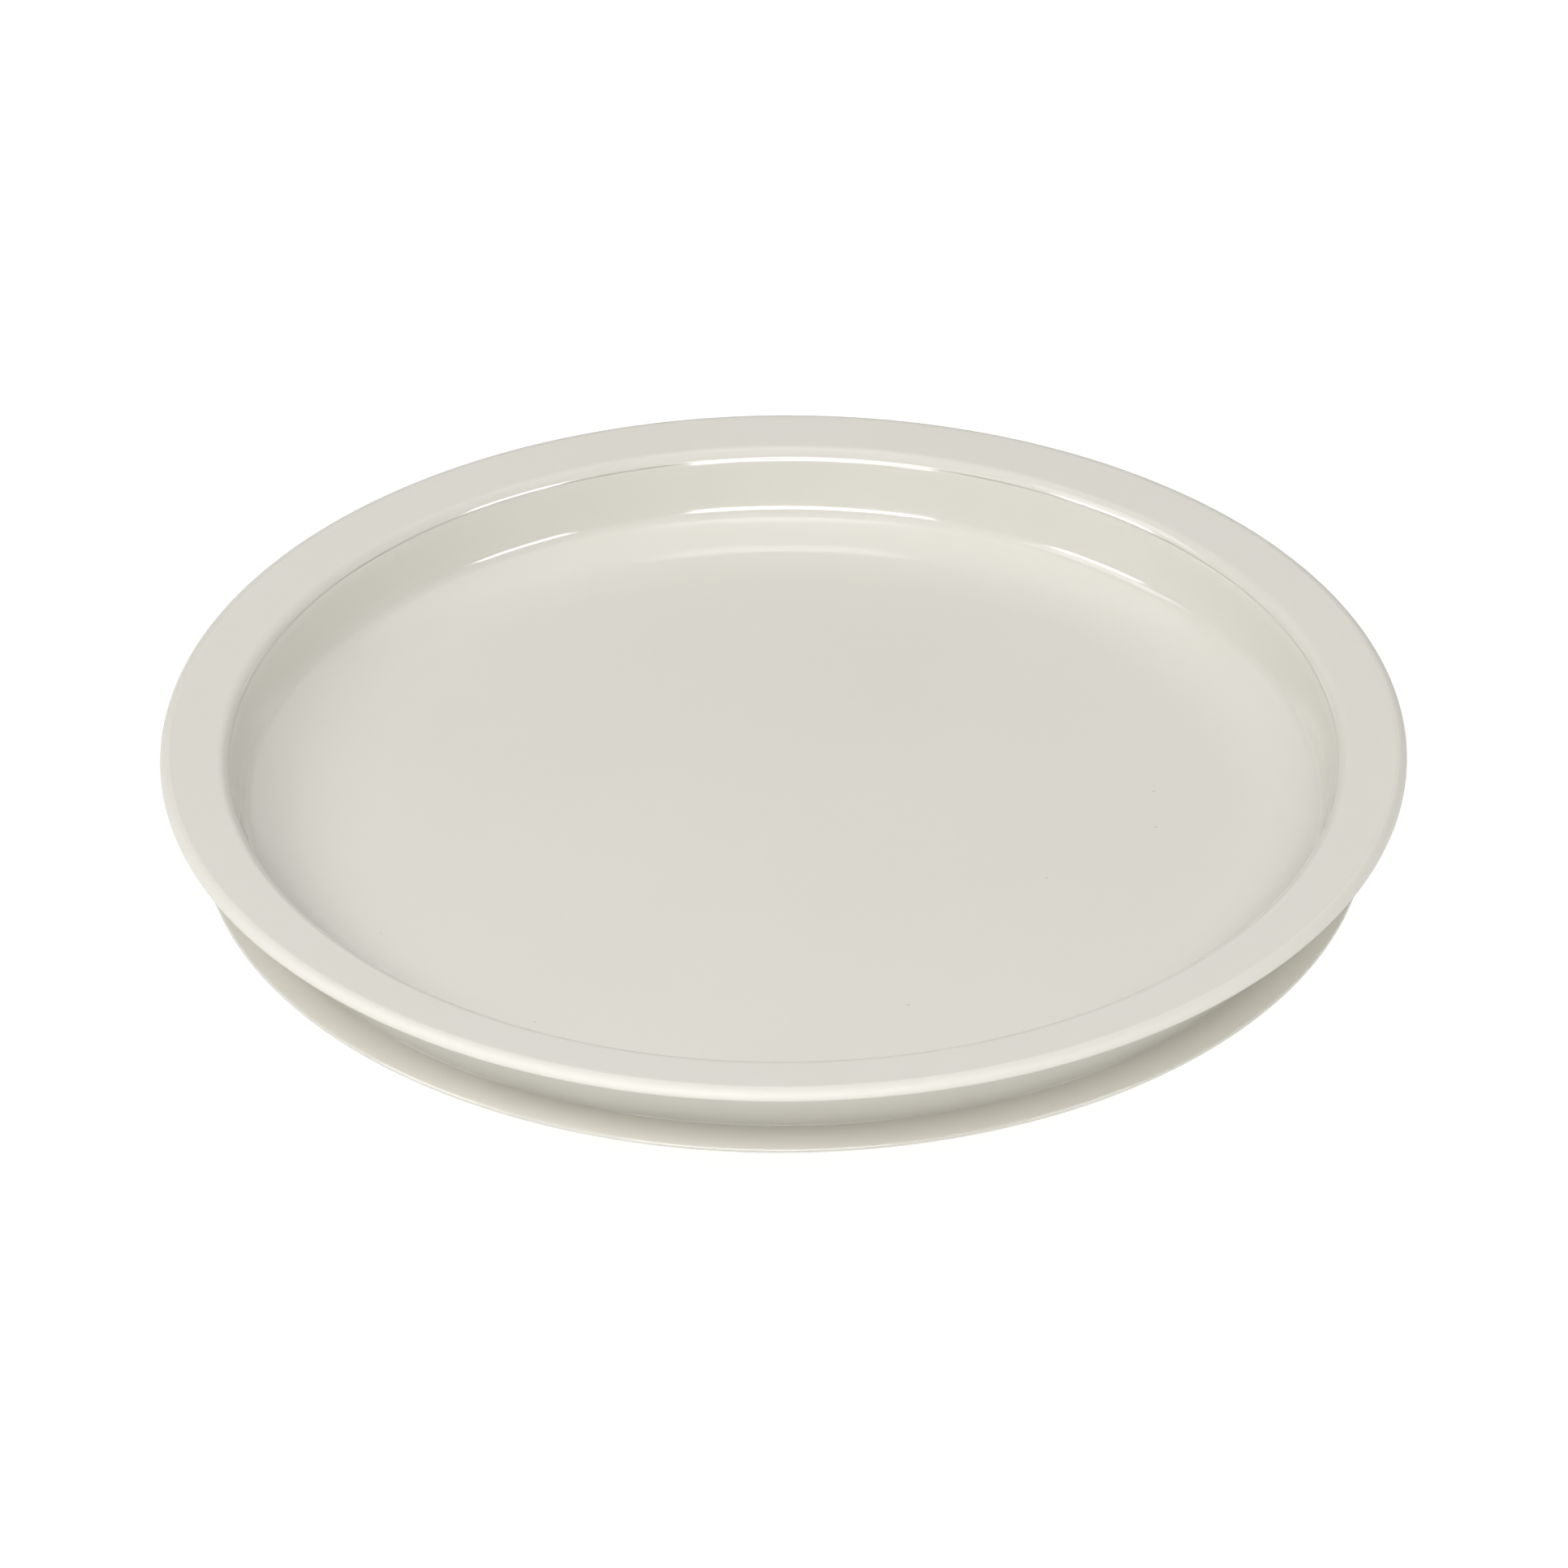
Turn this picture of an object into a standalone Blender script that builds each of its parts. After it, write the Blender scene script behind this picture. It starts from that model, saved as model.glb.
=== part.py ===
"""A lazy susan turntable: a moulded dish tray that turns on a caged ball race over a low ribbed base.

Metres, +Z up. The origin is on the table, under the pivot, and +Z is the axis that the tray turns about.
"""

import math

import bmesh
import bpy
from mathutils import Matrix, Vector

MM = 0.001

# Driving dimensions, in millimetres
TRAY_RADIUS = 175.0
TOTAL_HEIGHT = 45.5
WELL_DEPTH = 24.5
FLOOR_THICKNESS = 3.3
RIM_THICKNESS = 3.4
BALL_RADIUS = 2.5
BALL_COUNT = 16
BALL_CIRCLE_RADIUS = 60.0
BASE_RADIUS = 122.0
BASE_TOP = 11.5
FOOT_COUNT = 6
FOOT_CIRCLE_RADIUS = 108.0
GAP = 0.3

# Heights that follow from them
FLOOR_TOP = TOTAL_HEIGHT - WELL_DEPTH
TRAY_BOTTOM = FLOOR_TOP - FLOOR_THICKNESS
BALL_HEIGHT = 13.6
GROOVE_RADIUS = BALL_RADIUS + GAP
RACE_THICKNESS = 2.0
UPPER_RACE_TOP = TRAY_BOTTOM - GAP
UPPER_RACE_BOTTOM = UPPER_RACE_TOP - RACE_THICKNESS
LOWER_RACE_TOP = 2 * BALL_HEIGHT - UPPER_RACE_BOTTOM
LOWER_RACE_BOTTOM = LOWER_RACE_TOP - RACE_THICKNESS
RACE_INNER = BALL_CIRCLE_RADIUS - 10.0
RACE_OUTER = BALL_CIRCLE_RADIUS + 10.0

# Tray section. A corner is where two straight runs would meet before the round between them is cut.
DISH_CORNER = 138.7
DISH_ROUND = 52.0
COVE_CORNER = 151.3
COVE_RISE = 5.8
COVE_ROUND = 5.0
WALL_CORNER = 156.9
RIM_FALL = 1.36
RIM_CROWN = 0.3
RIM_INNER_ROUND = 5.0
RIM_OUTER_ROUND = 3.1
RIM_EDGE_ROUND = 0.25
OUTER_WALL_TOP = 159.0
OUTER_WALL_FOOT = 154.2
OUTER_WALL_ROUND = 3.0
FLANGE_RADIUS = 163.6
FLANGE_ROOT = 20.5
FLANGE_EDGE = 18.7
FLANGE_BOTTOM = 17.3
FLANGE_COVE = 1.0
FLANGE_EDGE_ROUND = 0.65
FOOT_RING_INNER = 151.6
FOOT_RING_TOP = 23.3
UNDER_DISH_CORNER = 139.4
CHANNEL_RIB = 2.0
TRAY_RIB_DEPTH = 2.2
TRAY_RIBS = 12
TRAY_RIB_REACH = 124.0
RIB_WIDTH = 2.0
BOSS_RADIUS = 12.0
BOSS_BOTTOM = 13.2

# Base section
BASE_WALL = 2.5
BASE_SKIRT_BOTTOM = 5.0
BASE_EDGE_ROUND = 2.0
TROUGH_TOP = LOWER_RACE_BOTTOM - GAP
HUB_RADIUS = 14.0
HUB_BOTTOM = 2.5
HUB_RECESS_RADIUS = 12.0
HUB_LEDGE = 7.1
BASE_RIBS = 12
FOOT_BOSS_RADIUS = 9.5
FOOT_RADIUS = 9.0
SPIGOT_RADIUS = 3.0
SPIGOT_LENGTH = 3.5

# Pivot stack, from the table up
SCREW_HEAD_BOTTOM = 3.7
SCREW_HEAD_HEIGHT = 1.9
SCREW_HEAD_RADIUS = 4.0
SCREW_RADIUS = 1.75
SCREW_TIP = 19.4
DRIVE_DEPTH = 1.0
DRIVE_REACH = 2.1
DRIVE_HALF_WIDTH = 0.45
WASHER_BOTTOM = 5.9
WASHER_THICKNESS = 0.8
WASHER_RADIUS = 9.0
SLEEVE_BOTTOM = 7.0
SLEEVE_RADIUS = 5.0
BUSH_BOTTOM = 7.4
BUSH_WALL = 1.7
BUSH_FLANGE_RADIUS = 10.0
BUSH_FLANGE_THICKNESS = 0.8

BIG_SEGMENTS = 64
RING_SEGMENTS = 48
SMALL_SEGMENTS = 24
POCKET_SEGMENTS = 12
ARC_STEPS = 3


def clear_scene():
    for thing in list(bpy.data.objects):
        bpy.data.objects.remove(thing, do_unlink=True)


def new_collection(name):
    collection = bpy.data.collections.new(name)
    bpy.context.scene.collection.children.link(collection)
    return collection


clear_scene()
PARTS = new_collection("lazy_susan")
CUTTERS = new_collection("cutters")


def material(name, colour, roughness, metallic=0.0):
    made = bpy.data.materials.new(name)
    made.use_nodes = True
    shader = made.node_tree.nodes["Principled BSDF"]
    shader.inputs["Base Color"].default_value = (*colour, 1.0)
    shader.inputs["Roughness"].default_value = roughness
    shader.inputs["Metallic"].default_value = metallic
    return made


BONE_PLASTIC = material("bone gloss plastic", (0.68, 0.66, 0.61), 0.22)
BASE_PLASTIC = material("bone base plastic", (0.64, 0.62, 0.57), 0.4)
STEEL = material("zinc plated steel", (0.62, 0.62, 0.63), 0.35, 1.0)
BALL_STEEL = material("polished ball steel", (0.75, 0.75, 0.76), 0.12, 1.0)
NYLON = material("natural nylon", (0.78, 0.76, 0.7), 0.5)
ACETAL = material("white acetal", (0.85, 0.85, 0.84), 0.35)
RUBBER = material("grey rubber", (0.18, 0.18, 0.18), 0.75)


def arc(centre, radius, start, end, steps):
    """Points (r, z) along an arc in the turning plane, with angles in degrees from +r towards +z."""
    angles = [math.radians(start + (end - start) * i / steps) for i in range(steps + 1)]
    return [(centre[0] + radius * math.cos(a), centre[1] + radius * math.sin(a)) for a in angles]


def rounded(corners):
    """A profile (r, z) through corners (r, z) or (r, z, round), with each round as an arc."""
    points = []
    for index, corner in enumerate(corners):
        at = Vector(corner[:2])
        if len(corner) == 2:
            points.append(tuple(at))
            continue
        back = (Vector(corners[index - 1][:2]) - at).normalized()
        ahead = (Vector(corners[index + 1][:2]) - at).normalized()
        half = back.angle(ahead) / 2
        centre = at + (back + ahead).normalized() * corner[2] / math.sin(half)
        start = at + back * corner[2] / math.tan(half) - centre
        swing = math.copysign(math.pi - 2 * half, back.y * ahead.x - back.x * ahead.y)
        for i in range(ARC_STEPS + 1):
            points.append(tuple(centre + Matrix.Rotation(swing * i / ARC_STEPS, 2) @ start))
    return points


def turned(name, profile, segments, finish_material, closed=True):
    """A turned solid from a profile of (r, z) in mm that runs down its outer side."""
    mesh = bpy.data.meshes.new(name)
    points = [(r * MM, 0.0, z * MM) for r, z in profile]
    edges = [(i, i + 1) for i in range(len(points) - 1)]
    if closed:
        edges.append((len(points) - 1, 0))
    mesh.from_pydata(points, edges, [])
    mesh.materials.append(finish_material)
    thing = bpy.data.objects.new(name, mesh)
    PARTS.objects.link(thing)
    screw = thing.modifiers.new("turn", "SCREW")
    screw.axis = "Z"
    screw.steps = screw.render_steps = segments
    screw.use_merge_vertices = True
    screw.merge_threshold = 0.00001
    screw.use_smooth_shade = True
    return thing


def helper(name, mesh_builder):
    """A mesh that only cuts or joins another piece."""
    mesh = bpy.data.meshes.new(name)
    bm = bmesh.new()
    mesh_builder(bm)
    bm.to_mesh(mesh)
    bm.free()
    thing = bpy.data.objects.new(name, mesh)
    CUTTERS.objects.link(thing)
    thing.hide_render = True
    thing.display_type = "WIRE"
    return thing


def combine(thing, other, operation):
    boolean = thing.modifiers.new(f"{operation.lower()} {other.name}", "BOOLEAN")
    boolean.operation = operation
    boolean.solver = "EXACT"
    boolean.object = other


def add_box(bm, low, high, turn=0.0):
    """A box between two corners in mm, turned about Z by an angle in radians."""
    size = Vector(high) - Vector(low)
    middle = (Vector(high) + Vector(low)) / 2
    stretch = Matrix.Diagonal((*(size * MM), 1.0))
    place = Matrix.Rotation(turn, 4, "Z") @ Matrix.Translation(middle * MM)
    bmesh.ops.create_cube(bm, size=1.0, matrix=place @ stretch)


def add_cylinder(bm, radius, bottom, top, at=(0.0, 0.0), segments=SMALL_SEGMENTS):
    middle = Vector((at[0], at[1], (bottom + top) / 2)) * MM
    bmesh.ops.create_cone(
        bm,
        cap_ends=True,
        segments=segments,
        radius1=radius * MM,
        radius2=radius * MM,
        depth=(top - bottom) * MM,
        matrix=Matrix.Translation(middle),
    )


def around(radius, angle):
    return radius * math.cos(angle), radius * math.sin(angle)


def turns(count):
    return [2 * math.pi * i / count for i in range(count)]


def radial_ribs(bm, count, inner, outer, width, bottom, top):
    for angle in turns(count):
        add_box(bm, (inner, -width / 2, bottom), (outer, width / 2, top), angle)


def tray_profile():
    """The dish from the centre of its floor, over the rim, down the outer wall and back below."""
    rim = TOTAL_HEIGHT
    rib_bottom = TRAY_BOTTOM - TRAY_RIB_DEPTH
    pilot = SCREW_RADIUS + GAP
    corners = [
        (0.0, FLOOR_TOP),
        (DISH_CORNER, FLOOR_TOP, DISH_ROUND),
        (COVE_CORNER, FLOOR_TOP + COVE_RISE, COVE_ROUND),
        (WALL_CORNER, rim - RIM_FALL, RIM_INNER_ROUND),
        (TRAY_RADIUS, rim + RIM_CROWN, RIM_OUTER_ROUND),
        (TRAY_RADIUS, rim - RIM_THICKNESS, RIM_EDGE_ROUND),
        (OUTER_WALL_TOP, rim - RIM_THICKNESS, OUTER_WALL_ROUND),
        (OUTER_WALL_FOOT, FLANGE_ROOT, FLANGE_COVE),
        (FLANGE_RADIUS, FLANGE_EDGE, FLANGE_EDGE_ROUND),
        (FLANGE_RADIUS, FLANGE_BOTTOM, FLANGE_EDGE_ROUND),
        (FOOT_RING_INNER, FLANGE_BOTTOM),
        (FOOT_RING_INNER, FOOT_RING_TOP),
        (UNDER_DISH_CORNER, TRAY_BOTTOM, DISH_ROUND + FLOOR_THICKNESS),
    ]
    for outer in (RACE_OUTER + GAP + CHANNEL_RIB, RACE_INNER - GAP):
        corners += [(outer, TRAY_BOTTOM), (outer, rib_bottom)]
        corners += [(outer - CHANNEL_RIB, rib_bottom), (outer - CHANNEL_RIB, TRAY_BOTTOM)]
    corners += [(BOSS_RADIUS, TRAY_BOTTOM), (BOSS_RADIUS, BOSS_BOTTOM), (pilot, BOSS_BOTTOM)]
    corners += [(pilot, SCREW_TIP + GAP), (0.0, SCREW_TIP + GAP)]
    return rounded(corners)


def make_tray():
    tray = turned("tray", tray_profile(), BIG_SEGMENTS, BONE_PLASTIC, closed=False)
    low = TRAY_BOTTOM - TRAY_RIB_DEPTH + 0.2
    inside_floor = TRAY_BOTTOM + FLOOR_THICKNESS / 2

    def ribs(bm):
        radial_ribs(bm, TRAY_RIBS, RACE_OUTER + 1.3, TRAY_RIB_REACH, RIB_WIDTH, low, inside_floor)

    def gussets(bm):
        radial_ribs(bm, TRAY_RIBS // 2, BOSS_RADIUS - 1.5, RACE_INNER - 1.3, RIB_WIDTH, low, inside_floor)

    combine(tray, helper("tray_ribs", ribs), "UNION")
    combine(tray, helper("tray_gussets", gussets), "UNION")


def race_section(face, back):
    """A flat ring with a round groove in the face that looks at the balls."""
    reach = math.degrees(math.acos(abs(face - BALL_HEIGHT) / GROOVE_RADIUS))
    centre = (BALL_CIRCLE_RADIUS, BALL_HEIGHT)
    if face < back:
        groove = arc(centre, GROOVE_RADIUS, 90 - reach, 90 + reach, 6)
        return [(RACE_INNER, back), (RACE_OUTER, back), (RACE_OUTER, face), *groove, (RACE_INNER, face)]
    groove = arc(centre, GROOVE_RADIUS, -90 - reach, -90 + reach, 6)
    return [(RACE_INNER, face), *groove, (RACE_OUTER, face), (RACE_OUTER, back), (RACE_INNER, back)]


def make_races():
    turned("upper_race", race_section(UPPER_RACE_BOTTOM, UPPER_RACE_TOP), RING_SEGMENTS, STEEL)
    turned("lower_race", race_section(LOWER_RACE_TOP, LOWER_RACE_BOTTOM), RING_SEGMENTS, STEEL)


def make_cage():
    half_width, half_height = 6.0, 1.0
    low, high = BALL_HEIGHT - half_height, BALL_HEIGHT + half_height
    inner, outer = BALL_CIRCLE_RADIUS - half_width, BALL_CIRCLE_RADIUS + half_width
    section = [(inner, high), (outer, high), (outer, low), (inner, low)]
    cage = turned("ball_cage", section, RING_SEGMENTS, NYLON)

    def pockets(bm):
        for angle in turns(BALL_COUNT):
            place = around(BALL_CIRCLE_RADIUS, angle)
            add_cylinder(bm, BALL_RADIUS + GAP, low - 1, high + 1, place, POCKET_SEGMENTS)

    combine(cage, helper("cage_pockets", pockets), "DIFFERENCE")


def make_balls():
    mesh = bpy.data.meshes.new("ball")
    bm = bmesh.new()
    bmesh.ops.create_uvsphere(bm, u_segments=10, v_segments=6, radius=BALL_RADIUS * MM)
    bm.to_mesh(mesh)
    bm.free()
    mesh.materials.append(BALL_STEEL)
    mesh.shade_smooth()
    for number, angle in enumerate(turns(BALL_COUNT), start=1):
        ball = bpy.data.objects.new(f"ball_{number:02d}", mesh)
        ball.location = Vector((*around(BALL_CIRCLE_RADIUS, angle), BALL_HEIGHT)) * MM
        PARTS.objects.link(ball)


def base_profile():
    """The plate with its race trough, its skirt and the hub with its stepped bore."""
    edge = arc((BASE_RADIUS - BASE_EDGE_ROUND, BASE_TOP - BASE_EDGE_ROUND), BASE_EDGE_ROUND, 90, 0, ARC_STEPS)
    under = BASE_TOP - BASE_WALL
    trough_under = TROUGH_TOP - BASE_WALL
    trough_inner, trough_outer = RACE_INNER - GAP, RACE_OUTER + GAP
    bore = SLEEVE_RADIUS + GAP + BUSH_WALL + GAP
    return [
        (bore, BASE_TOP),
        (trough_inner, BASE_TOP),
        (trough_inner, TROUGH_TOP),
        (trough_outer, TROUGH_TOP),
        (trough_outer, BASE_TOP),
        *edge,
        (BASE_RADIUS, BASE_SKIRT_BOTTOM),
        (BASE_RADIUS - BASE_WALL, BASE_SKIRT_BOTTOM),
        (BASE_RADIUS - BASE_WALL, under),
        (trough_outer + BASE_WALL, under),
        (trough_outer + BASE_WALL, trough_under),
        (trough_inner - BASE_WALL, trough_under),
        (trough_inner - BASE_WALL, under),
        (HUB_RADIUS, under),
        (HUB_RADIUS, HUB_BOTTOM),
        (HUB_RECESS_RADIUS, HUB_BOTTOM),
        (HUB_RECESS_RADIUS, HUB_LEDGE),
        (bore, HUB_LEDGE),
    ]


def make_base():
    base = turned("base_plate", base_profile(), RING_SEGMENTS, BASE_PLASTIC)
    inside_plate = BASE_TOP - BASE_WALL + 0.8

    def ribs(bm):
        inner, outer = HUB_RADIUS - 0.8, BASE_RADIUS - BASE_WALL + 0.8
        radial_ribs(bm, BASE_RIBS, inner, outer, RIB_WIDTH, BASE_SKIRT_BOTTOM + 0.3, TROUGH_TOP - 0.2)

    def bosses(bm):
        for angle in turns(FOOT_COUNT):
            place = around(FOOT_CIRCLE_RADIUS, angle)
            add_cylinder(bm, FOOT_BOSS_RADIUS, BASE_SKIRT_BOTTOM, inside_plate, place)

    def sockets(bm):
        for angle in turns(FOOT_COUNT):
            place = around(FOOT_CIRCLE_RADIUS, angle)
            socket_top = BASE_SKIRT_BOTTOM + SPIGOT_LENGTH + GAP
            add_cylinder(bm, SPIGOT_RADIUS + GAP, BASE_SKIRT_BOTTOM - 1, socket_top, place, POCKET_SEGMENTS)

    combine(base, helper("base_ribs", ribs), "UNION")
    combine(base, helper("foot_bosses", bosses), "UNION")
    combine(base, helper("foot_sockets", sockets), "DIFFERENCE")


def make_feet():
    pad_top = BASE_SKIRT_BOTTOM - GAP
    profile = [
        (0.0, pad_top + SPIGOT_LENGTH),
        (SPIGOT_RADIUS, pad_top + SPIGOT_LENGTH),
        (SPIGOT_RADIUS, pad_top),
        (FOOT_RADIUS, pad_top),
        (FOOT_RADIUS, 1.2),
        (FOOT_RADIUS - 1.2, 0.0),
        (0.0, 0.0),
    ]
    for number, angle in enumerate(turns(FOOT_COUNT), start=1):
        foot = turned(f"foot_{number}", profile, 20, RUBBER, closed=False)
        foot.location = Vector((*around(FOOT_CIRCLE_RADIUS, angle), 0.0)) * MM


def make_pivot():
    bush_inner = SLEEVE_RADIUS + GAP
    bush_outer = bush_inner + BUSH_WALL
    flange_low = BASE_TOP + GAP
    flange_high = flange_low + BUSH_FLANGE_THICKNESS
    bush = [
        (bush_inner, flange_high),
        (BUSH_FLANGE_RADIUS, flange_high),
        (BUSH_FLANGE_RADIUS, flange_low),
        (bush_outer, flange_low),
        (bush_outer, BUSH_BOTTOM),
        (bush_inner, BUSH_BOTTOM),
    ]
    turned("pivot_bush", bush, SMALL_SEGMENTS, ACETAL)

    screw_clear = SCREW_RADIUS + GAP
    sleeve_top = BOSS_BOTTOM - GAP
    sleeve = [
        (screw_clear, sleeve_top),
        (SLEEVE_RADIUS, sleeve_top),
        (SLEEVE_RADIUS, SLEEVE_BOTTOM),
        (screw_clear, SLEEVE_BOTTOM),
    ]
    turned("pivot_sleeve", sleeve, SMALL_SEGMENTS, STEEL)

    washer_top = WASHER_BOTTOM + WASHER_THICKNESS
    washer = [
        (screw_clear, washer_top),
        (WASHER_RADIUS, washer_top),
        (WASHER_RADIUS, WASHER_BOTTOM),
        (screw_clear, WASHER_BOTTOM),
    ]
    turned("pivot_washer", washer, SMALL_SEGMENTS, STEEL)
    make_screw()
    make_hub_cap()


def make_screw():
    head_top = SCREW_HEAD_BOTTOM + SCREW_HEAD_HEIGHT
    profile = [
        (0.0, SCREW_TIP),
        (SCREW_RADIUS * 0.5, SCREW_TIP),
        (SCREW_RADIUS, SCREW_TIP - 1.5),
        (SCREW_RADIUS, head_top),
        (SCREW_HEAD_RADIUS, head_top),
        (SCREW_HEAD_RADIUS, SCREW_HEAD_BOTTOM + 0.8),
        (SCREW_HEAD_RADIUS - 1.0, SCREW_HEAD_BOTTOM),
        (0.0, SCREW_HEAD_BOTTOM),
    ]
    screw = turned("pivot_screw", profile, SMALL_SEGMENTS, STEEL, closed=False)

    low, high = SCREW_HEAD_BOTTOM - 1, SCREW_HEAD_BOTTOM + DRIVE_DEPTH

    def slot(bm):
        add_box(bm, (-DRIVE_REACH, -DRIVE_HALF_WIDTH, low), (DRIVE_REACH, DRIVE_HALF_WIDTH, high + 0.1))

    def cross_slot(bm):
        add_box(bm, (-DRIVE_HALF_WIDTH, -DRIVE_REACH, low), (DRIVE_HALF_WIDTH, DRIVE_REACH, high))

    combine(screw, helper("drive_slot", slot), "DIFFERENCE")
    combine(screw, helper("drive_cross_slot", cross_slot), "DIFFERENCE")


def make_hub_cap():
    cap_radius = HUB_RECESS_RADIUS - GAP
    face, skin, skirt_top, skirt_wall = HUB_BOTTOM - 0.3, 1.0, HUB_LEDGE - GAP, 1.2
    profile = [
        (0.0, face + skin),
        (cap_radius - skirt_wall, face + skin),
        (cap_radius - skirt_wall, skirt_top),
        (cap_radius, skirt_top),
        (cap_radius, face + 0.4),
        (cap_radius - 0.4, face),
        (0.0, face),
    ]
    turned("hub_cap", profile, SMALL_SEGMENTS, BASE_PLASTIC, closed=False)


make_tray()
make_races()
make_cage()
make_balls()
make_base()
make_feet()
make_pivot()
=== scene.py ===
"""The looks of a lazy susan turntable: a bone-white dish tray that turns on a ball race over a low base."""

import math

import bmesh
import bpy
from mathutils import Matrix, Quaternion, Vector


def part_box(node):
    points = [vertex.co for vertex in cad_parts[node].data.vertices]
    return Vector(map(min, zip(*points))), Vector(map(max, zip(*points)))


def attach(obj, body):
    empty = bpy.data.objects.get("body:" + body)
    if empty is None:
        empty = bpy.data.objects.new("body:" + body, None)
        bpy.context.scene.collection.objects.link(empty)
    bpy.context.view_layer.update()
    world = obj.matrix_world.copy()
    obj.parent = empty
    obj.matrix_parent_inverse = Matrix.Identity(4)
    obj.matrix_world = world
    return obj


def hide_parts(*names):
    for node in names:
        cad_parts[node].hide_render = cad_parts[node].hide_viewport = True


MM = 0.001
FULL_TURN = 2 * math.pi

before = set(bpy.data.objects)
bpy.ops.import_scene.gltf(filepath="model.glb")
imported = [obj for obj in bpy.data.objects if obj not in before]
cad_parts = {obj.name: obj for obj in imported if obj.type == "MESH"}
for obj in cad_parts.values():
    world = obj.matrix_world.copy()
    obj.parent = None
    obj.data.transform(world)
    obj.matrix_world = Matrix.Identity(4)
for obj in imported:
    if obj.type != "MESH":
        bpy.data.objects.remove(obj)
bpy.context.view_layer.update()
scene = bpy.context.scene


def extent(node):
    """Outer radius, bottom and top of a turned node in mm, measured on the frame."""
    low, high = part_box(node)
    return (high.x - low.x) / 2 / MM, low.z / MM, high.z / MM


def place(node):
    """Where the middle of a node stands in mm, seen from above."""
    low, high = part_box(node)
    return Vector(((low.x + high.x) / 2 / MM, (low.y + high.y) / 2 / MM, 0))


# ---------------------------------------------------------------- materials


def srgb(hex_colour):
    """An sRGB hex colour as linear red, green, blue, alpha."""
    channels = [int(hex_colour[i : i + 2], 16) / 255 for i in (1, 3, 5)]
    linear = [c / 12.92 if c <= 0.04045 else ((c + 0.055) / 1.055) ** 2.4 for c in channels]
    return (*linear, 1.0)


def per_mm(size):
    """The scale that makes a pattern's cells this many millimetres across on Object coordinates."""
    return 1 / (size * MM)


def add(tree, kind, inputs=(), **settings):
    """Adds a node, sets its properties, and gives its inputs their values or links from other nodes."""
    node = tree.nodes.new(kind)
    for key, value in settings.items():
        setattr(node, key, value)
    for socket, value in dict(inputs).items():
        if isinstance(value, bpy.types.Node):
            value = next(output for output in value.outputs if output.enabled)
        if isinstance(value, bpy.types.NodeSocket):
            tree.links.new(value, node.inputs[socket])
        else:
            node.inputs[socket].default_value = value
    return node


def new_material(name, **shader_inputs):
    """A material with one Principled shader, its node tree and the Object coordinates."""
    made = bpy.data.materials.new(name)
    made.use_nodes = True
    tree = made.node_tree
    shader = tree.nodes["Principled BSDF"]
    for socket, value in shader_inputs.items():
        shader.inputs[socket.replace("_", " ")].default_value = value
    coordinates = add(tree, "ShaderNodeTexCoord").outputs["Object"]
    return made, tree, shader, coordinates


def mottled(name, lumps, colours, roughness, grain, depth, **shader_inputs):
    """A finish whose colour and roughness drift over lumps, with a finer grain of some depth, all in mm."""
    made, tree, shader, coordinates = new_material(name, **shader_inputs)
    drift = add(tree, "ShaderNodeTexNoise", {"Vector": coordinates, "Scale": per_mm(lumps), "Detail": 3.0})
    first, second = (srgb(colour) for colour in colours)
    colour = add(tree, "ShaderNodeMix", {"Factor": drift, "A": first, "B": second}, data_type="RGBA")
    smoothest, roughest = roughness
    limits = {"Value": drift, "From Min": 0.3, "From Max": 0.7, "To Min": smoothest, "To Max": roughest}
    gleam = add(tree, "ShaderNodeMapRange", limits)
    height = add(tree, "ShaderNodeTexNoise", {"Vector": coordinates, "Scale": per_mm(grain), "Detail": 2.0})
    relief = add(tree, "ShaderNodeBump", {"Height": height, "Distance": depth * MM, "Strength": 1.0})
    tree.links.new(colour.outputs["Result"], shader.inputs["Base Color"])
    tree.links.new(gleam.outputs["Result"], shader.inputs["Roughness"])
    tree.links.new(relief.outputs["Normal"], shader.inputs["Normal"])
    return made, tree, shader, coordinates


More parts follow.
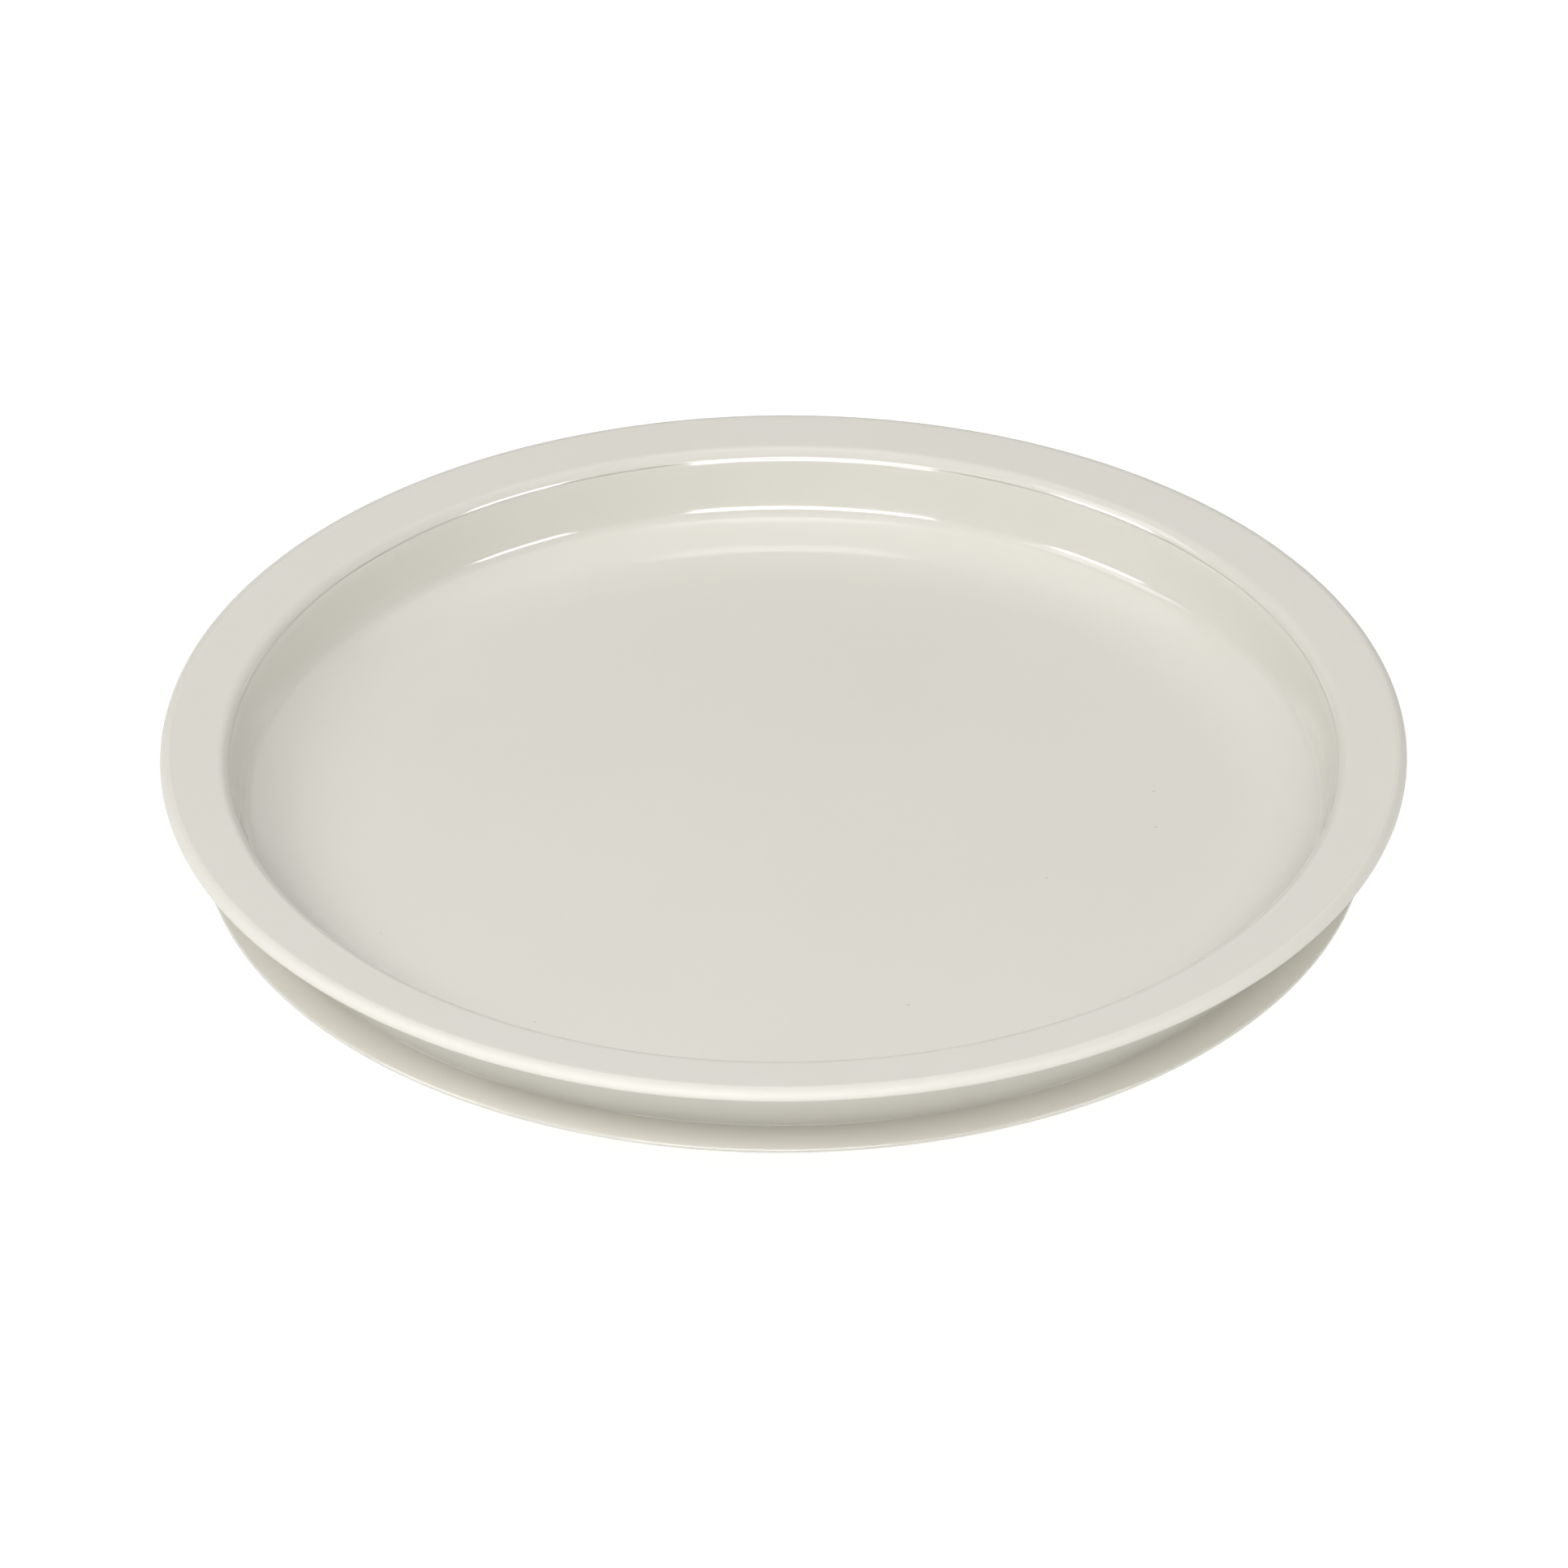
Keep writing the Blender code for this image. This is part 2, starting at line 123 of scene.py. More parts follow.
def gloss_abs():
    """Gloss ABS moulded against polished steel: even bone colour, crisp reflections, a faint orange peel.

    A few specks of burnt resin show in the colour. Hands have dulled the outer edge of the rim. Side cores
    leave four hair-thin witness lines down the outer wall, where they met.
    """
    finish = mottled("gloss_moulded_abs", 70, ("#D8D6CD", "#D5D2C9"), (0.07, 0.11), 7, 0.004, IOR=1.53)
    made, tree, shader, coordinates = finish
    clean = shader.inputs["Base Color"].links[0].from_node
    cells = add(tree, "ShaderNodeTexVoronoi", {"Vector": coordinates, "Scale": per_mm(26)})
    inside = {"Value": cells, "From Min": 0.01, "From Max": 0.018, "To Min": 0.5, "To Max": 0.0}
    speck = add(tree, "ShaderNodeMapRange", inside)
    specked = {"Factor": speck, "A": clean, "B": srgb("#8E8A7E")}
    colour = add(tree, "ShaderNodeMix", specked, data_type="RGBA")
    tree.links.new(colour.outputs["Result"], shader.inputs["Base Color"])

    eighth = {"Vector": coordinates, "Rotation": (0, 0, FULL_TURN / 8)}
    along = add(tree, "ShaderNodeSeparateXYZ", {"Vector": add(tree, "ShaderNodeMapping", eighth)})
    from_y = add(tree, "ShaderNodeMath", {0: along.outputs["X"]}, operation="ABSOLUTE")
    from_x = add(tree, "ShaderNodeMath", {0: along.outputs["Y"]}, operation="ABSOLUTE")
    nearest = add(tree, "ShaderNodeMath", {0: from_x, 1: from_y}, operation="MINIMUM")
    hair = {"Value": nearest, "From Min": 0.05 * MM, "From Max": 0.16 * MM, "To Min": 1.0, "To Max": 0.0}
    line = add(tree, "ShaderNodeMapRange", hair)
    level = add(tree, "ShaderNodeVectorMath", {0: coordinates, 1: (1, 1, 0)}, operation="MULTIPLY")
    reach = add(tree, "ShaderNodeVectorMath", {0: level}, operation="LENGTH").outputs["Value"]
    worn_from, worn_to = WORN_EDGE
    edge = {"Value": reach, "From Min": worn_from * MM, "From Max": worn_to * MM, "To Max": 0.5}
    worn = add(tree, "ShaderNodeMapRange", edge)
    polish = shader.inputs["Roughness"].links[0].from_node
    dulled = add(tree, "ShaderNodeMath", {0: polish, 1: worn}, operation="ADD")
    tree.links.new(dulled.outputs["Value"], shader.inputs["Roughness"])

    outside = add(tree, "ShaderNodeMath", {0: reach, 1: OUTER_WALL_FOOT * MM}, operation="GREATER_THAN")
    rim_underside = (TRAY_TOP - RIM_THICKNESS) * MM
    under = add(tree, "ShaderNodeMath", {0: along.outputs["Z"], 1: rim_underside}, operation="LESS_THAN")
    on_wall = add(tree, "ShaderNodeMath", {0: outside, 1: under}, operation="MULTIPLY")
    seam = add(tree, "ShaderNodeMath", {0: line, 1: on_wall}, operation="MULTIPLY")
    peel = shader.inputs["Normal"].links[0].from_node
    witness = {"Height": seam, "Distance": 0.03 * MM, "Strength": 1.0, "Normal": peel}
    relief = add(tree, "ShaderNodeBump", witness)
    tree.links.new(relief.outputs["Normal"], shader.inputs["Normal"])
    return made


def satin_abs():
    """The same ABS moulded against spark-eroded steel: an even satin grain that scatters reflections."""
    # The real grain is about 0.05 mm; it is drawn at 0.35 mm so that it shows.
    return mottled("spark_eroded_abs", 40, ("#D5D2C7", "#CFCCC0"), (0.42, 0.52), 0.35, 0.03, IOR=1.53)[0]


def turned_steel():
    """Carbon steel turned on a lathe and lightly oiled: fine rings round the axis and a grey, wet gleam."""
    finish = mottled("turned_oiled_steel", 14, ("#B9B9BA", "#A6A5A3"), (0.24, 0.38), 3, 0.01, Metallic=1.0)
    made, tree, shader, coordinates = finish
    level = add(tree, "ShaderNodeVectorMath", {0: coordinates, 1: (1, 1, 0)}, operation="MULTIPLY")
    reach = add(tree, "ShaderNodeVectorMath", {0: level}, operation="LENGTH").outputs["Value"]
    # Tool marks are about 0.1 mm apart; they are drawn 0.4 mm apart so that they show.
    turns = add(tree, "ShaderNodeMath", {0: reach, 1: FULL_TURN * per_mm(0.4)}, operation="MULTIPLY")
    rings = add(tree, "ShaderNodeMath", {0: turns}, operation="SINE")
    under = shader.inputs["Normal"].links[0].from_node
    marks = {"Height": rings, "Distance": 0.006 * MM, "Strength": 1.0, "Normal": under}
    relief = add(tree, "ShaderNodeBump", marks)
    tree.links.new(relief.outputs["Normal"], shader.inputs["Normal"])
    return made


def ball_steel():
    """Hardened bearing steel lapped to a mirror: near-perfect reflections with a few faint rub marks."""
    colours = ("#D6D7D9", "#CBCCCF")
    return mottled("lapped_bearing_steel", 1.2, colours, (0.05, 0.13), 0.8, 0.001, Metallic=1.0)[0]


def zinc_plate():
    """Bright zinc over steel: a soft bluish mirror broken up by a fine cloudy crystal."""
    colours = ("#C3C8CE", "#ACAFB2")
    return mottled("bright_zinc_plate", 1.6, colours, (0.18, 0.34), 0.9, 0.01, Metallic=1.0)[0]


def natural_nylon():
    """Unpigmented nylon: milky and slightly waxy, with light sinking in at the thin edges."""
    finish = mottled("natural_nylon", 6, ("#E3DDC9", "#D6CFB8"), (0.38, 0.5), 0.5, 0.01, IOR=1.53)
    made, _, shader, _ = finish
    shader.inputs["Subsurface Weight"].default_value = 0.3
    shader.inputs["Subsurface Radius"].default_value = (1.0, 0.8, 0.5)
    shader.inputs["Subsurface Scale"].default_value = 1.5 * MM
    return made


def white_acetal():
    """Machined white acetal: dense cool white with a low slippery sheen."""
    return mottled("white_acetal", 5, ("#ECECE8", "#E2E2DD"), (0.28, 0.36), 0.6, 0.006, IOR=1.48)[0]


def soft_rubber():
    """Grey thermoplastic rubber: matt, a little dusty, with the fine tooth of a blasted mould."""
    colours = ("#5A5A58", "#6C6B67")
    return mottled("grey_rubber", 4, colours, (0.7, 0.84), 0.4, 0.04, Specular_IOR_Level=0.35)[0]


# ---------------------------------------------------------------- shaping

LONGEST_STEP = 1.6
SUPPORT = 0.3


def outline(corners):
    """Points (radius, height) in mm through corners (radius, height[, round]), with each round as an arc.

    A point just outside each arc holds the straight run beside it flat when the surface is shaded smooth.
    """
    points = []
    for index, corner in enumerate(corners):
        at = Vector(corner[:2])
        if len(corner) < 3:
            points.append(at)
            continue
        back = Vector(corners[index - 1][:2]) - at
        ahead = Vector(corners[(index + 1) % len(corners)][:2]) - at
        half = back.angle(ahead) / 2
        reach = corner[2] / math.tan(half)
        room = min(SUPPORT, corner[2]) / 2
        centre = at + (back.normalized() + ahead.normalized()).normalized() * corner[2] / math.sin(half)
        start = at + back.normalized() * reach - centre
        turn = math.copysign(math.pi - 2 * half, back.y * ahead.x - back.x * ahead.y)
        finest = math.radians(6 if corner[2] > 1.5 else 18)
        steps = math.ceil(max(abs(turn) / finest, abs(turn) * corner[2] / LONGEST_STEP))
        if back.length > reach + 2 * room:
            points.append(at + back.normalized() * (reach + room))
        points += [centre + Matrix.Rotation(turn * i / steps, 2) @ start for i in range(steps + 1)]
        if ahead.length > reach + 2 * room:
            points.append(at + ahead.normalized() * (reach + room))
    return points


def turn_piece(name, corners, steps=128, closed=True, at=Vector()):
    """Spins an outline in mm about a vertical line into one closed shell."""
    bm = bmesh.new()
    verts = [bm.verts.new((at + Vector((r, 0, z))) * MM) for r, z in outline(corners)]
    pairs = list(zip(verts, verts[1:]))
    if closed:
        pairs.append((verts[-1], verts[0]))
    edges = [bm.edges.new(pair) for pair in pairs]
    bmesh.ops.spin(
        bm, geom=verts + edges, cent=at * MM, axis=(0, 0, 1), angle=FULL_TURN, steps=steps, use_merge=True
    )
    bmesh.ops.remove_doubles(bm, verts=bm.verts, dist=0.001 * MM)
    bmesh.ops.recalc_face_normals(bm, faces=bm.faces)
    return piece(name, bm)


def piece(name, bm):
    mesh = bpy.data.meshes.new(name)
    bm.to_mesh(mesh)
    bm.free()
    made = bpy.data.objects.new(name, mesh)
    scene.collection.objects.link(made)
    smooth(made)
    return made


def smooth(made):
    made.data.shade_smooth()
    made.data.set_sharp_from_angle(angle=math.radians(32))


def shape(made, operation, tool_bm):
    """Joins a tool's shape to a piece or cuts it out, and leaves the result in the piece's mesh."""
    bmesh.ops.recalc_face_normals(tool_bm, faces=tool_bm.faces)
    tool = piece("shaping_tool", tool_bm)
    boolean = made.modifiers.new("shape", "BOOLEAN")
    boolean.operation = operation
    boolean.solver = "EXACT"
    boolean.object = tool
    shaped = bpy.data.meshes.new_from_object(made.evaluated_get(bpy.context.evaluated_depsgraph_get()))
    made.modifiers.clear()
    made.data = shaped
    bpy.data.objects.remove(tool, do_unlink=True)
    smooth(made)


def around(count, start=0.0):
    """Turns about the vertical axis, evenly spaced."""
    return [Matrix.Rotation(start + FULL_TURN * i / count, 4, "Z") for i in range(count)]


def add_drum(bm, radius, bottom, top, at=Vector(), segments=48, foot=None):
    """A short cylinder in mm, narrower at its bottom if a foot radius is given."""
    middle = Vector((at.x, at.y, (bottom + top) / 2)) * MM
    bmesh.ops.create_cone(
        bm,
        cap_ends=True,
        segments=segments,
        radius1=(foot or radius) * MM,
        radius2=radius * MM,
        depth=(top - bottom) * MM,
        matrix=Matrix.Translation(middle),
    )


def add_rib(bm, inner, outer, width, bottom, top, turn, draft=0.8, round_size=0.35):
    """A radial rib in mm that hangs from its top, drawn in towards its rounded lower edge."""
    size = Vector((outer - inner, width, top - bottom)) * MM
    middle = Vector(((inner + outer) / 2, 0, (bottom + top) / 2)) * MM
    block = Matrix.Translation(middle) @ Matrix.Diagonal((*size, 1))
    made = bmesh.ops.create_cube(bm, matrix=block)["verts"]
    lower = [v for v in made if v.co.z < middle.z]
    bmesh.ops.scale(bm, vec=(1, draft, 1), verts=lower)
    edges = {e for v in lower for e in v.link_edges if all(end in lower for end in e.verts)}
    soft = bmesh.ops.bevel(
        bm, geom=list(edges), offset=round_size * MM, segments=3, profile=0.5, affect="EDGES", material=-1
    )
    verts = {v for v in made if v.is_valid} | set(soft["verts"])
    bmesh.ops.transform(bm, matrix=turn, verts=list(verts))


def fit(made, body, slot, finish, *nodes):
    """Puts a piece on its body, gives it its finish, and hides the nodes it stands for. The slot is not
    used.
    """
    made.data.materials.clear()
    made.data.materials.append(finish)
    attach(made, body)
    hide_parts(*nodes)


# ---------------------------------------------------------------- tray

WELL_DEPTH = 24.5
FLOOR_THICKNESS = 3.3
RIM_THICKNESS = 3.4
OUTER_WALL_HEAD = 159.0
OUTER_WALL_FOOT = 154.2
FOOT_RING_DROP = 0.4
FLANGE_RADIUS = 163.6
FLANGE_ROOT = 3.2
FLANGE_EDGE = 1.4
FLANGE_INSIDE = 151.6
PIN_MARK_CIRCLE = 157.6
WORN_EDGE = (171.5, 174.0)
RIB_WIDTH = 2.0
RIB_DEPTH = 2.2
BOSS_RADIUS = 12.0
BALL_CIRCLE = 60.0
TRAY_TOP = extent("tray")[2]
RACE_EDGES = (BALL_CIRCLE - 10.0, BALL_CIRCLE + 10.0)
PLAY = 0.3


def make_tray(finish):
    """One moulding: the dish, its rim and foot flange, channels for the race, ribs and the centre boss."""
    radius, boss_bottom, rim = extent("tray")
    floor = rim - WELL_DEPTH
    under = floor - FLOOR_THICKNESS
    foot = under - FOOT_RING_DROP
    flange_root = foot + FLANGE_ROOT
    pilot, pilot_top = 2.05, floor - 1.3
    corners = [
        (0, floor),
        (138.7, floor, 52.0),
        (151.0, floor + 5.66, 4.0),
        (152.4, floor + 9.16, 25.0),
        (155.1, rim - 5.0, 18.0),
        (156.7, rim - 1.38, 4.0),
        (radius, rim + 0.3, 2.95),
        (radius, rim - RIM_THICKNESS, 0.25),
        (OUTER_WALL_HEAD, rim - RIM_THICKNESS, 3.0),
        (OUTER_WALL_FOOT, flange_root, 0.25),
        (FLANGE_RADIUS, foot + FLANGE_EDGE, 0.65),
        (FLANGE_RADIUS, foot, 0.65),
        (FLANGE_INSIDE, foot, 0.4),
        (FLANGE_INSIDE, foot + 6.0, 0.6),
        (139.4, under, 55.3),
    ]
    inner, outer = RACE_EDGES
    for edge in (outer + PLAY + RIB_WIDTH, inner - PLAY):
        corners += [(edge, under, 0.3), (edge, under - RIB_DEPTH, 0.3)]
        corners += [(edge - RIB_WIDTH, under - RIB_DEPTH, 0.3), (edge - RIB_WIDTH, under, 0.15)]
    corners += [(BOSS_RADIUS, under, 0.6), (BOSS_RADIUS, boss_bottom, 0.4)]
    corners += [(pilot, boss_bottom, 0.3), (pilot, pilot_top), (0, pilot_top)]
    tray = turn_piece("serving_tray", corners, steps=320, closed=False)

    ribs = bmesh.new()
    low, high = under - RIB_DEPTH + 0.2, under + FLOOR_THICKNESS / 2
    for turn in around(12):
        add_rib(ribs, outer + 1.3, 124, RIB_WIDTH, low, high, turn)
    for turn in around(6):
        add_rib(ribs, BOSS_RADIUS - 1.5, inner - 1.3, RIB_WIDTH, low, high, turn)
    shape(tray, "UNION", ribs)

    pin_marks = bmesh.new()
    for turn in around(12, FULL_TURN / 24):
        add_drum(pin_marks, 3.0, foot - 1, foot + 0.15, turn @ Vector((PIN_MARK_CIRCLE, 0, 0)))
    shape(tray, "DIFFERENCE", pin_marks)
    fit(tray, "turntable", "bone_gloss_plastic", finish, "tray")


# ---------------------------------------------------------------- ball race

BALL_RADIUS = 2.5
GROOVE_RADIUS = 2.8


def ball_nodes():
    return sorted(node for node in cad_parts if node.startswith("ball_") and node != "ball_cage")


def make_tracks(finish):
    """Two flat rings that face each other, each with a round groove for the balls."""
    height = (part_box("ball_01")[0].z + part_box("ball_01")[1].z) / 2 / MM
    inner, outer = RACE_EDGES
    for node, name, body, side in (
        ("upper_race", "upper_ball_track", "turntable", 1),
        ("lower_race", "lower_ball_track", "base", -1),
    ):
        _, low, high = extent(node)
        face, back = (low, high) if side > 0 else (high, low)
        rise = abs(face - height)
        half_groove = math.sqrt(GROOVE_RADIUS**2 - rise**2)
        corners = [
            (inner, face, 0.25),
            (BALL_CIRCLE - half_groove, face, 0.15),
            (BALL_CIRCLE, height + side * GROOVE_RADIUS**2 / rise, GROOVE_RADIUS - 0.1),
            (BALL_CIRCLE + half_groove, face, 0.15),
            (outer, face, 0.25),
            (outer, back, 0.25),
            (inner, back, 0.25),
        ]
        fit(turn_piece(name, corners, steps=192), body, "race_steel", finish, node)


def make_balls(finish):
    for node in ball_nodes():
        low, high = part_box(node)
        bm = bmesh.new()
        middle = Matrix.Translation((low + high) / 2)
        bmesh.ops.create_uvsphere(bm, u_segments=48, v_segments=24, radius=BALL_RADIUS * MM, matrix=middle)
        fit(piece(node.replace("ball_", "bearing_ball_"), bm), node, "ball_steel", finish, node)


def make_cage(finish):
    """A flat ring with a collared pocket for each ball."""
    radius, low, high = extent("ball_cage")
    inner = 2 * BALL_CIRCLE - radius
    corners = [(inner, low, 0.3), (inner, high, 0.3), (radius, high, 0.3), (radius, low, 0.3)]
    cage = turn_piece("ball_retainer", corners, steps=192)
    collars, pockets = bmesh.new(), bmesh.new()
    for node in ball_nodes():
        add_drum(collars, 3.75, low - 0.4, high + 0.4, place(node), 40)
        add_drum(pockets, BALL_RADIUS + 0.15, low - 2, high + 2, place(node), 40)
    shape(cage, "UNION", collars)
    shape(cage, "DIFFERENCE", pockets)
    fit(cage, "cage", "cage_nylon", finish, "ball_cage")


# ---------------------------------------------------------------- base

FOOT_SPIGOT_RADIUS = 3.0
GRIP_DEPTH = 0.5


def foot_nodes():
    return sorted(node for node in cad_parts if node.startswith("foot_"))


def make_base(finish):
    """A low disc with a trough for the race, twelve ribs, a hub and a boss over each foot."""
    radius, hub_bottom, top = extent("base_plate")
    wall = 2.5
    under, skirt = top - wall, 5.0
    _, track_bottom, _ = extent("lower_race")
    trough = track_bottom - PLAY
    inner, outer = RACE_EDGES[0] - PLAY, RACE_EDGES[1] + PLAY
    bore, hub, ledge = 7.3, 14.0, 7.1
    corners = [
        (bore, top, 0.3),
        (inner, top, 0.3),
        (inner, trough, 0.2),
        (outer, trough, 0.2),
        (outer, top, 0.3),
        (radius, top, 2.0),
        (radius, skirt, 0.5),
        (radius - wall, skirt, 0.5),
        (radius - wall, under, 0.8),
        (outer + wall, under, 0.5),
        (outer + wall, trough - wall, 0.5),
        (inner - wall, trough - wall, 0.5),
        (inner - wall, under, 0.5),
        (hub, under, 0.8),
        (hub, hub_bottom, 0.4),
        (hub - 2, hub_bottom, 0.3),
        (hub - 2, ledge, 0.3),
        (bore, ledge, 0.3),
    ]
    base = turn_piece("ribbed_base", corners, steps=256)
    ribs = bmesh.new()
    for turn in around(12):
        add_rib(ribs, hub - 0.8, radius - wall + 0.8, RIB_WIDTH, skirt + 0.3, trough - 0.2, turn)
    shape(base, "UNION", ribs)
    bosses, sockets = bmesh.new(), bmesh.new()
    for node in foot_nodes():
        add_drum(bosses, 9.5, skirt, under + 0.8, place(node), 64, foot=9.3)
        add_drum(sockets, FOOT_SPIGOT_RADIUS + PLAY, skirt - 1, skirt + 3.8, place(node), 40)
    shape(base, "UNION", bosses)
    shape(base, "DIFFERENCE", sockets)
    fit(base, "base", "base_plastic", finish, "base_plate")


def make_feet(finish):
    """Push-in feet with a beaded spigot and three shallow grip rings in the sole."""
    for node in foot_nodes():
        radius, _, top = extent(node)
        pad_top = top - 3.5
        corners = [
            (0, top),
            (FOOT_SPIGOT_RADIUS, top, 0.6),
            (FOOT_SPIGOT_RADIUS, top - 0.9, 0.2),
            (FOOT_SPIGOT_RADIUS + 0.2, top - 1.4, 0.2),
            (FOOT_SPIGOT_RADIUS, top - 1.9, 0.2),
            (FOOT_SPIGOT_RADIUS, pad_top, 0.4),
            (radius, pad_top, 0.5),
            (radius, 0, 1.2),
        ]
        for ring in (6.2, 4.2, 2.2):
            corners += [(ring + 0.5, 0, 0.1), (ring + 0.2, GRIP_DEPTH, 0.15)]
            corners += [(ring - 0.2, GRIP_DEPTH, 0.15), (ring - 0.5, 0, 0.1)]
        corners.append((0, 0))
        foot = turn_piece(f"rubber_{node}", corners, steps=64, closed=False, at=place(node))
        fit(foot, "base", "foot_rubber", finish, node)


# ---------------------------------------------------------------- pivot

SCREW_CORE = 1.4
SCREW_CREST = 1.95
THREAD_PITCH = 1.4
CLEARANCE_BORE = 2.05


def make_bush(finish):
    radius, low, high = extent("pivot_bush")
    bore, barrel, flange = 5.3, 7.0, high - 0.8
    corners = [
        (bore, high, 0.25),
        (radius, high, 0.25),
        (radius, flange, 0.15),
        (barrel, flange, 0.1),
        (barrel, low, 0.4),
        (bore, low, 0.25),
    ]
    fit(turn_piece("flanged_bush", corners), "base", "bush_acetal", finish, "pivot_bush")


def make_spacers(finish):
    """The sleeve and the washer on the screw: plain rings with softened outer edges."""
    bore = CLEARANCE_BORE
    rings = (("pivot_sleeve", "spacer_sleeve", 0.35), ("pivot_washer", "flat_washer", 0.25))
    for node, name, round_size in rings:
        radius, low, high = extent(node)
        corners = [(bore, high), (radius, high, round_size), (radius, low, round_size), (bore, low)]
        fit(turn_piece(name, corners), "turntable", "pivot_steel", finish, node)


def make_screw(finish):
    """A pan-head screw with a coarse thread for plastic and a cross recess."""
    radius, low, tip = extent("pivot_screw")
    head_top = low + 1.9
    corners = [
        (0, tip),
        (0.35, tip),
        (SCREW_CORE, tip - 1.6),
        (SCREW_CORE, head_top, 0.2),
        (radius, head_top, 0.2),
        (radius, low, 1.1),
        (0, low),
    ]
    screw = turn_piece("cross_head_screw", corners, steps=64, closed=False)

    turns, per_turn = int((tip - 1.8 - head_top) / THREAD_PITCH) - 1, 32
    thread = bmesh.new()
    start, root = head_top + 0.9, SCREW_CORE - 0.3
    section = [(root, start), (SCREW_CREST, start + 0.32), (SCREW_CREST, start + 0.4), (root, start + 0.72)]
    face = thread.faces.new([thread.verts.new(Vector((r, 0, z)) * MM) for r, z in section])
    bmesh.ops.spin(
        thread,
        geom=[face],
        cent=(0, 0, 0),
        axis=(0, 0, 1),
        dvec=(0, 0, THREAD_PITCH * MM / per_turn),
        angle=FULL_TURN * turns,
        steps=per_turn * turns,
        use_merge=False,
    )
    shape(screw, "UNION", thread)

    depth = Matrix.Translation(Vector((0, 0, low + 0.05)) * MM)
    blade_size = Matrix.Diagonal((4.4 * MM, 0.85 * MM, 2.3 * MM, 1))
    for turn in around(4, FULL_TURN / 8)[:2]:
        recess = bmesh.new()
        blade = bmesh.ops.create_cube(recess, matrix=turn @ depth @ blade_size)
        upper = [v for v in blade["verts"] if v.co.z > low * MM]
        bmesh.ops.scale(recess, vec=(0.55, 0.55, 1), verts=upper)
        shape(screw, "DIFFERENCE", recess)
    fit(screw, "turntable", "pivot_steel", finish, "pivot_screw")


def make_plug(finish):
    """A snap-in plug whose skirt is slotted into fingers."""
    radius, face, skirt_top = extent("hub_cap")
    wall = 1.2
    corners = [
        (0, face + 1.3),
        (radius - wall, face + 1.3, 0.3),
        (radius - wall, skirt_top, 0.3),
        (radius, skirt_top, 0.3),
        (radius, face, 0.5),
        (0, face),
    ]
    plug = turn_piece("hub_plug", corners, steps=96, closed=False)
    slots = bmesh.new()
    depth = Matrix.Translation(Vector((0, 0, skirt_top)) * MM)
    slot_size = Matrix.Diagonal((40 * MM, 2.2 * MM, 5.4 * MM, 1))
    for turn in around(3):
        bmesh.ops.create_cube(slots, matrix=turn @ depth @ slot_size)
    shape(plug, "DIFFERENCE", slots)
    fit(plug, "base", "base_plastic", finish, "hub_cap")


# ---------------------------------------------------------------- studio

CAMERA_ELEVATION = math.radians(33.11)
CAMERA_DISTANCE = 12.0
CAMERA_ROLL = math.radians(-0.25)
AIM_DROP = 0.01025
FRAME_WIDTH = 0.43997


def make_camera():
    lens = bpy.data.cameras.new("studio_camera")
    lens.sensor_width = 36
    lens.lens = 36 * CAMERA_DISTANCE / FRAME_WIDTH
    lens.clip_start, lens.clip_end = 0.5, 60
    camera = bpy.data.objects.new("studio_camera", lens)
    scene.collection.objects.link(camera)
    back = Vector((0, -math.cos(CAMERA_ELEVATION), math.sin(CAMERA_ELEVATION)))
    up = Vector((0, math.sin(CAMERA_ELEVATION), math.cos(CAMERA_ELEVATION)))
    aim = Vector((0.0001, 0, TRAY_TOP * MM)) - up * AIM_DROP
    camera.location = aim + back * CAMERA_DISTANCE
    camera.rotation_mode = "QUATERNION"
    camera.rotation_quaternion = (-back).to_track_quat("-Z", "Y") @ Quaternion((0, 0, 1), CAMERA_ROLL)
    scene.camera = camera


def make_floor():
    """A plain pale floor that is clear from below, so that the underside can be seen."""
    bm = bmesh.new()
    bmesh.ops.create_grid(bm, x_segments=1, y_segments=1, size=6.0)
    floor = piece("studio_floor", bm)
    made, tree, shader, _ = new_material("pale_floor", Roughness=0.7)
    shader.inputs["Base Color"].default_value = srgb("#8E8E8D")
    shader.inputs["Emission Color"].default_value = srgb("#FFFFFF")
    shader.inputs["Emission Strength"].default_value = 0.84
    clear = add(tree, "ShaderNodeBsdfTransparent").outputs[0]
    behind = add(tree, "ShaderNodeNewGeometry").outputs["Backfacing"]
    mixed = add(tree, "ShaderNodeMixShader", {0: behind, 1: shader.outputs[0], 2: clear}).outputs[0]
    tree.links.new(mixed, tree.nodes["Material Output"].inputs["Surface"])
    floor.data.materials.append(made)


